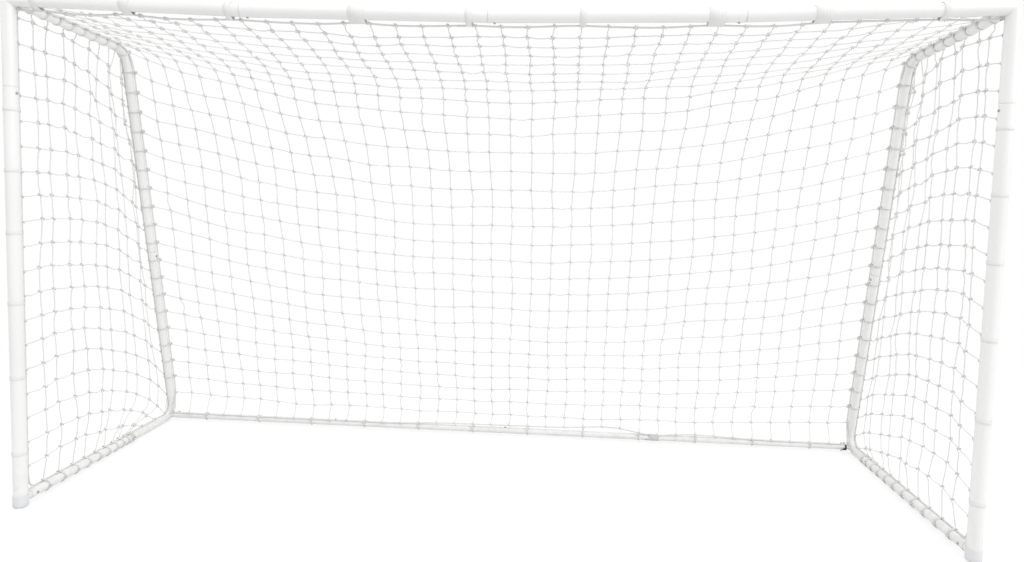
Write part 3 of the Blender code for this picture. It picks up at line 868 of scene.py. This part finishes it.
columns_x = np.linspace(-main_edge_x, main_edge_x, main_columns + 1)
main = loosened(main_surface(np.arange(main_rows + 1), columns_x))
panels = [("roof_netting", 0, roof_rows, "net_roof"),
          ("back_netting_upper", roof_rows, upper_rows, "net_back_upper"),
          ("back_netting_lower", upper_rows, main_rows, "net_back_lower")]
for name, first_row, last_row, replaced in panels:
    net_piece(name, in_goal(main), replaced, first_row, last_row)
side_panels = {}
for hand, side in hands:
    side_panels[hand] = loosened(side_knots(hand))
    net_piece("side_netting_" + hand, in_goal(on_side(side_panels[hand], side)), "net_" + hand)

# Border ropes


def main_rope():
    """The rope round the main panel, in one closed loop."""
    fine_x = np.linspace(-main_edge_x, main_edge_x, 300)
    fine_rows = np.linspace(0, main_rows, 260)[1:-1]
    top, bottom = main_surface([0, main_rows], fine_x)
    edges = main_surface(fine_rows, np.array([-main_edge_x, main_edge_x]))
    return np.concatenate([top, edges[:, 1], bottom[::-1], edges[::-1, 0]])


def side_loop(hand):
    """The rope round a side panel: up behind the post, back, down the leg and forward along the ground."""
    corner_gap = 0.055
    post_rope_foot = 0.085
    frame_part = side_rope(np.linspace(corner_gap, side_far[-1] - corner_gap, 400))
    heights = np.linspace(post_rope_foot, first_row_height[hand] - 0.01, 150)
    across, back = np.full_like(heights, post_rope_x), np.full_like(heights, post_rope_y)
    post_part = np.column_stack([across, back, heights])
    return np.concatenate([post_part, frame_part])


def border_rope(name, loop, times):
    """A closed rope along a loop whose corners are eased so many times."""
    ropes = Cordage()
    ropes.sweep(evenly(softened(in_goal(loop), times), rope_step), border / 2, sides=8, closed=True)
    ropes.piece(name, rope_finish)


border_rope("main_border_rope", main_rope(), 12)
for hand, side in hands:
    border_rope("side_border_rope_" + hand, on_side(side_loop(hand), side), 6)

# Lashings: two turns of twine and a knot at each mesh, round a tube and the ropes beside it

bend_clearance = 0.11


def off_ground(path):
    """The path with nothing lower than twine that lies on the ground."""
    path[..., 2] = np.maximum(path[..., 2], twine / 2)
    return path


def lashing(cords, places, side, circles):
    """Lashings round the side tube at places along its axis, each knotted with two short ends."""
    turns = 2.0
    knot_share = 0.75
    places = np.asarray(places, float)
    middles = in_goal(on_side(beside_tube(places, 0.0, 0.0), side))
    off_tube = in_goal(on_side(beside_tube(places, 0.0, 1.0), side))
    up = unit(off_tube - middles)
    out = np.broadcast_to(np.array([side, 0.0, 0.0]), up.shape)
    path, way = tight_turns(middles, out, up, circles, twine, turns, advance=twine * 1.15)
    cords.sweep(off_ground(path), twine / 2, sides=5)
    along = np.cross(out, up)
    at, face = path[:, 0], way[:, 0]
    across = np.cross(along, face)
    for shape, turned in ((bight_shape, 1.0), (wrap_shape, -1.0)):
        here = (at[:, None] + face[:, None] * twine + shape[:, 0, None] * along[:, None] * knot_share
                + shape[:, 1, None] * across[:, None] * knot_share
                + shape[:, 2, None] * face[:, None] * knot_share)
        cut_end = at + (face * 0.7 + across * 2.1 * turned + along * 1.6) * twine
        cords.sweep(off_ground(led_to(here, at, cut_end)), twine / 2, sides=5)


both_ropes = [(0, 0, side_radius), (main_rope_outboard, main_rope_off, border / 2),
              (side_rope_outboard, side_rope_off, border / 2)]
ground_rope = [(0, 0, side_radius), (ground_rope_outboard, ground_rope_off, border / 2)]
for hand, side in hands:
    cords = Cordage()
    rows = np.arange(1, main_rows - 1)
    lashing(cords, edge_places(rows), side, both_ropes)
    ground_places = side_far[-1] - side_panels[hand][-1, 1:, 1]
    lashing(cords, ground_places[ground_places > lower_bend + bend_clearance], side, ground_rope)
    cords.piece("lashings_" + hand, twine_finish)


def round_rear_bar(x, circles, thickness, turns, advance, start):
    """Turns round the rear bar, and round what lies beside it, at one place across the goal."""
    middle = np.array([[x, rear_bar_y + post_y, rear_bar_z]])
    backward, upward = np.array([[0.0, 1.0, 0.0]]), np.array([[0.0, 0.0, 1.0]])
    path, _ = tight_turns(middle, backward, upward, [(0, 0, rear_radius), *circles], thickness, turns,
                          advance=advance, start=start)
    return path


def rear_lashings():
    """Ties between the main panel's bottom rope and the rear bar."""
    cords = Cordage()
    for x, y, z in main[-1, 2:main_columns:3]:
        rope = (y - rear_bar_y, z - rear_bar_z, border / 2)
        path = round_rear_bar(x, [rope], twine, 2.0, twine * 1.15, math.pi / 2)
        cords.sweep(off_ground(path), twine / 2, sides=5)
    cords.piece("rear_bar_ties", twine_finish)


rear_lashings()

# Straps


def strap(name, middle, out, up, circles, width, finish, start=math.pi / 2, slant=0.0):
    """A flat strap once round and a little more, with its end laid on itself.

    It goes along the tube by slant in each turn.
    """
    thickness = 0.0008
    turns = 1.15
    middle, out, up = (np.array([given], float) for given in (middle, out, up))
    path, way = tight_turns(middle, out, up, circles, thickness, turns, growth=thickness * 1.05,
                            start=start, advance=slant, steps=44)
    along = np.cross(out, up)[:, None, None]
    half, edge = width / 2, thickness / 4
    section = np.array([(-half, -edge), (edge - half, -2 * edge), (half - edge, -2 * edge), (half, -edge),
                        (half, edge), (half - edge, 2 * edge), (edge - half, 2 * edge), (-half, edge)])
    cords = Cordage()
    cords.loft(path[:, :, None] + section[None, None, :, :1] * along
               + section[None, None, :, 1:] * way[:, :, None])
    cords.piece(name, finish)


# The crossbar's straps, from the left end to the right: across, width
bar_straps = [(-1.74, 0.024), (-1.38, 0.040), (-0.98, 0.024), (-0.489, 0.062), (-0.07, 0.024),
              (0.35, 0.024), (0.83, 0.060), (1.203, 0.060), (1.62, 0.024)]
for number, (x, width) in enumerate(bar_straps, 1):
    bar_slope = (bar_height(x + 0.01) - bar_height(x - 0.01)) / 0.02
    rope_drop = front_radius + float(rope_gap([x])[0]) + border / 2
    middle = (x, post_y, float(bar_height(x)))
    strap(f"crossbar_strap_{number}", middle, (0.0, 1.0, 0.0), unit(np.array([-bar_slope, 0.0, 1.0])),
          [(0, 0, front_radius), (top_rope_y, -rope_drop, border / 2)], width, tape_finish, start=0.0)

# Heights of the straps round each post, below the crossbar's axis
post_straps = (0.420, 0.656, 0.900, 1.180, 1.480, 1.790)
post_strap_width = 0.014
post_circles = [(0, 0, front_radius), (post_rope_x, post_rope_y, border / 2)]
for hand, side in hands:
    for number, drop in enumerate(post_straps, 1):
        strap(f"post_strap_{hand}_{number}", (side * post_x, post_y, bar_z - drop), (side, 0.0, 0.0),
              (0.0, 1.0, 0.0), post_circles, post_strap_width, tape_finish)

grey_strap_x = 0.812
grey_strap_width = 0.050
rear_rope = curve_through([grey_strap_x], main[-1])[0]
rear_circles = [(0, 0, rear_radius), (rear_rope[0] - rear_bar_y, rear_rope[1] - rear_bar_z, border / 2)]
strap("rear_bar_strap", (grey_strap_x, rear_bar_y + post_y, rear_bar_z), (0.0, 1.0, 0.0), (0.0, 0.0, 1.0),
      rear_circles, grey_strap_width, grey_tape_finish, start=math.pi * 1.1, slant=0.026)


def dark_tie():
    """A thin dark cord wound round the rear bar near its right end, with two short ends."""
    cords = Cordage()
    dark_tie_x = 1.814
    thick = 0.0036
    turns = 2.4
    path = round_rear_bar(dark_tie_x, [], thick, turns, thick * 1.3, math.pi * 1.05)
    cords.sweep(path, thick / 2, sides=8)
    tail = [(0.0, 0.0, 0.0), (0.006, -0.005, -0.001), (0.014, -0.007, -0.006), (0.024, -0.006, -0.011)]
    for end, lean in ((path[0, 0], -1.0), (path[0, -1], 1.0)):
        marks = [(place, *(end + (lean * x, y, z))) for place, (x, y, z) in enumerate(tail)]
        cords.sweep(off_ground(curve_through(np.linspace(0, 3, 12), marks)[None]), thick / 2, sides=8)
    cords.piece("dark_tie", dark_rope_finish)


dark_tie()

# Weld beads, where the side and rear stubs meet the tubes that carry them


def weld_bead(cords, middle, stub, carrier, carrier_radius, stub_radius):
    """A bead round the foot of a stub that stands on a tube whose axis runs along carrier."""
    bead_radius = 0.0022
    bead_lift = 0.0006
    middle, stub, carrier = (np.array(given, float) for given in (middle, stub, carrier))
    across = np.cross(carrier, stub)
    angle = np.linspace(0, 2 * math.pi, 64, endpoint=False)[:, None]
    aside, along = stub_radius * np.cos(angle), stub_radius * np.sin(angle)
    height = np.sqrt(carrier_radius**2 - aside**2)
    path = middle + across * aside + carrier * along + stub * (height + bead_lift)
    cords.sweep(path, bead_radius, sides=7, closed=True)


beads = Cordage()
stay_way = np.array([0.0, *unit(side_line[1] - side_line[0])])
foot_way = np.array([0.0, *unit(side_line[-2] - side_line[-1])])
for _, side in hands:
    for height, way in ((bar_z, stay_way), (foot_spigot_height, foot_way)):
        place = (side * post_x, post_y, height)
        weld_bead(beads, place, way, np.cross(way, (1.0, 0.0, 0.0)), front_radius, side_stub_radius)
    rear_corner = (side * post_x, rear_bar_y + post_y, rear_bar_z)
    bend_way = unit(points_along(side_line, lower_bend + 0.01) - points_along(side_line, lower_bend - 0.01))
    weld_bead(beads, rear_corner, (-side, 0.0, 0.0), (0.0, *bend_way), side_radius, rear_stub_radius)
beads.piece("weld_beads", weld_enamel)

# Leaf springs inside the joints, drawn again shaded smooth in place

for joint in frame["joints"]:
    place = joint["name"].removeprefix("press_")
    leaf = smooth_copy("spring_" + place, "leaf_spring_" + place)
    way = Vector(joint["axis"])
    reach = [way.dot(vertex.co) for vertex in leaf.data.vertices]
    middle = sum((vertex.co for vertex in leaf.data.vertices), Vector()) / len(reach)
    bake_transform(leaf)

# Floor, backdrop, light and camera


def studio_floor():
    """Pale floor. The camera sees it near white, with a soft shadow, and plain white further off."""
    made = Finish("floor_white")
    made.tree.nodes.remove(made.surface)
    distance = made.node("VectorMath", {"operation": "LENGTH"}, {0: made.place()})
    away = made.band(Value(distance.outputs["Value"]), 2.4, 4.4)
    plain = made.shader("BsdfDiffuse", {"Color": colour(0.79, 0.79, 0.79)})
    shown = made.shader("BsdfDiffuse", {"Color": colour(0.30, 0.30, 0.30)})
    glow = made.shader("Emission", {"Strength": 0.72})
    white = made.shader("Emission", {"Strength": 1.0})
    near = made.shader("AddShader", {0: shown, 1: glow})
    fading = made.shader("MixShader", {0: away, 1: near, 2: white})
    surface = made.shader("MixShader", {0: made.seen(), 1: plain, 2: fading})
    put(made.tree.nodes["Material Output"].inputs["Surface"], surface)
    return made.material


def floor():
    """A plain floor, far wider than the goal and a hair below it, so that no tube cuts into it."""
    reach = 60.0
    drop = 0.0006
    mesh = bpy.data.meshes.new("floor")
    mesh.from_pydata([(-reach, -reach, 0), (reach, -reach, 0), (reach, reach, 0), (-reach, reach, 0)], [],
                     [(0, 1, 2, 3)])
    made = bpy.data.objects.new("floor", mesh)
    made.location.z = -drop
    mesh.materials.append(studio_floor())
    bpy.context.scene.collection.objects.link(made)


def world(light_level):
    """White to the camera and in reflections, soft light to the goal."""
    soft_light = bpy.data.worlds.new("soft_light")
    bpy.context.scene.world = soft_light
    soft_light.use_nodes = True
    sky = Nodes(soft_light.node_tree)
    sky.tree.nodes.clear()
    strength = light_level + (1 - light_level) * sky.seen()
    background = sky.shader("Background", {"Color": colour(1.0, 1.0, 1.0), "Strength": strength})
    sky.node("OutputWorld", sockets={"Surface": background})


def lamp(name, place, aim, size, power):
    """A square soft box."""
    data = bpy.data.lights.new(name, "AREA")
    data.shape = "SQUARE"
    data.size = size
    data.energy = power
    made = bpy.data.objects.new(name, data)
    made.location = place
    made.rotation_euler = (Vector(aim) - Vector(place)).to_track_quat("-Z", "Y").to_euler()
    bpy.context.scene.collection.objects.link(made)


# The photograph's size, and the focal length and optical centre found for it, in its pixels
photo_width, photo_height = 1024, 562
focal_length = 648.1
centre_x, centre_y = 520.2, 231.9


def camera():
    """The photograph's view: from inside the pitch, right of the middle, slightly tilted."""
    data = bpy.data.cameras.new("camera")
    data.sensor_width = 36.0
    data.lens = data.sensor_width * focal_length / photo_width
    data.shift_x = (photo_width / 2 - centre_x) / photo_width
    data.shift_y = (centre_y - photo_height / 2) / photo_width
    data.clip_end = 200.0
    made = bpy.data.objects.new("camera", data)
    yaw, pitch, roll = (math.radians(angle) for angle in (3.383, -3.738, -1.478))
    turn = (Matrix.Rotation(yaw, 4, "Z") @ Matrix.Rotation(pitch, 4, "X") @ Matrix.Rotation(roll, 4, "Y")
            @ Matrix.Rotation(math.pi / 2, 4, "X"))
    made.matrix_world = Matrix.Translation((0.2832, -2.9311, 1.3311)) @ turn
    bpy.context.scene.collection.objects.link(made)
    bpy.context.scene.camera = made


floor()
world(0.83)
lamp("key", (9.8, -5.6, 6.5), (0.0, 0.0, 0.9), 6.0, 380.0)
lamp("back", (-9.0, 6.0, 5.0), (0.0, 0.0, 0.9), 5.0, 110.0)
lamp("top", (0.0, -2.6, 6.4), (0.0, 0.0, 0.8), 5.0, 105.0)
camera()
bpy.context.scene.view_settings.view_transform = "Standard"
